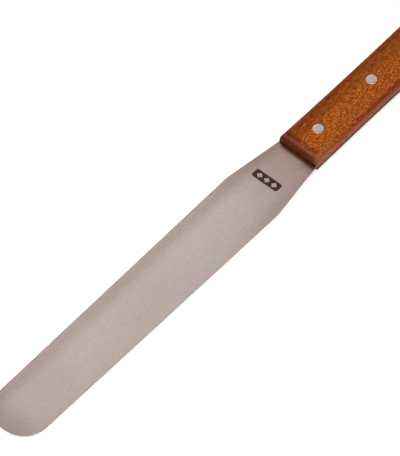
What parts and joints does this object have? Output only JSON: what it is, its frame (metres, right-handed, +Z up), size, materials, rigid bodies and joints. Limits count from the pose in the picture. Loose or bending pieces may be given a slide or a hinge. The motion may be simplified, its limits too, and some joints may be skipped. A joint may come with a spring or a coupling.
{
  "type": "palette knife",
  "caption": "Long straight palette knife: a flexible round-tipped steel blade whose full tang is riveted between wooden handle scales.",
  "frame": {"origin": "under the middle of the whole length, on the surface that the handle's underside rests on", "axes": "+X from the handle's butt to the blade's tip, +Y across the blade, +Z up through the handle's thickness"},
  "size_m": [0.381, 0.039, 0.0125],
  "materials": {
    "blade_steel": "satin stainless steel, fine grinding lines along the blade",
    "handle_wood": "lacquered red-brown hardwood, grain along the handle",
    "rivet_metal": "ground flush, satin"
  },
  "bodies": {
    "root": {"blade": "blade_steel", "scale_upper": "handle_wood", "scale_lower": "handle_wood", "rivet_front_male": "rivet_metal", "rivet_front_female": "rivet_metal", "rivet_middle_male": "rivet_metal", "rivet_middle_female": "rivet_metal", "rivet_rear_male": "rivet_metal", "rivet_rear_female": "rivet_metal"}
  },
  "joints": []
}
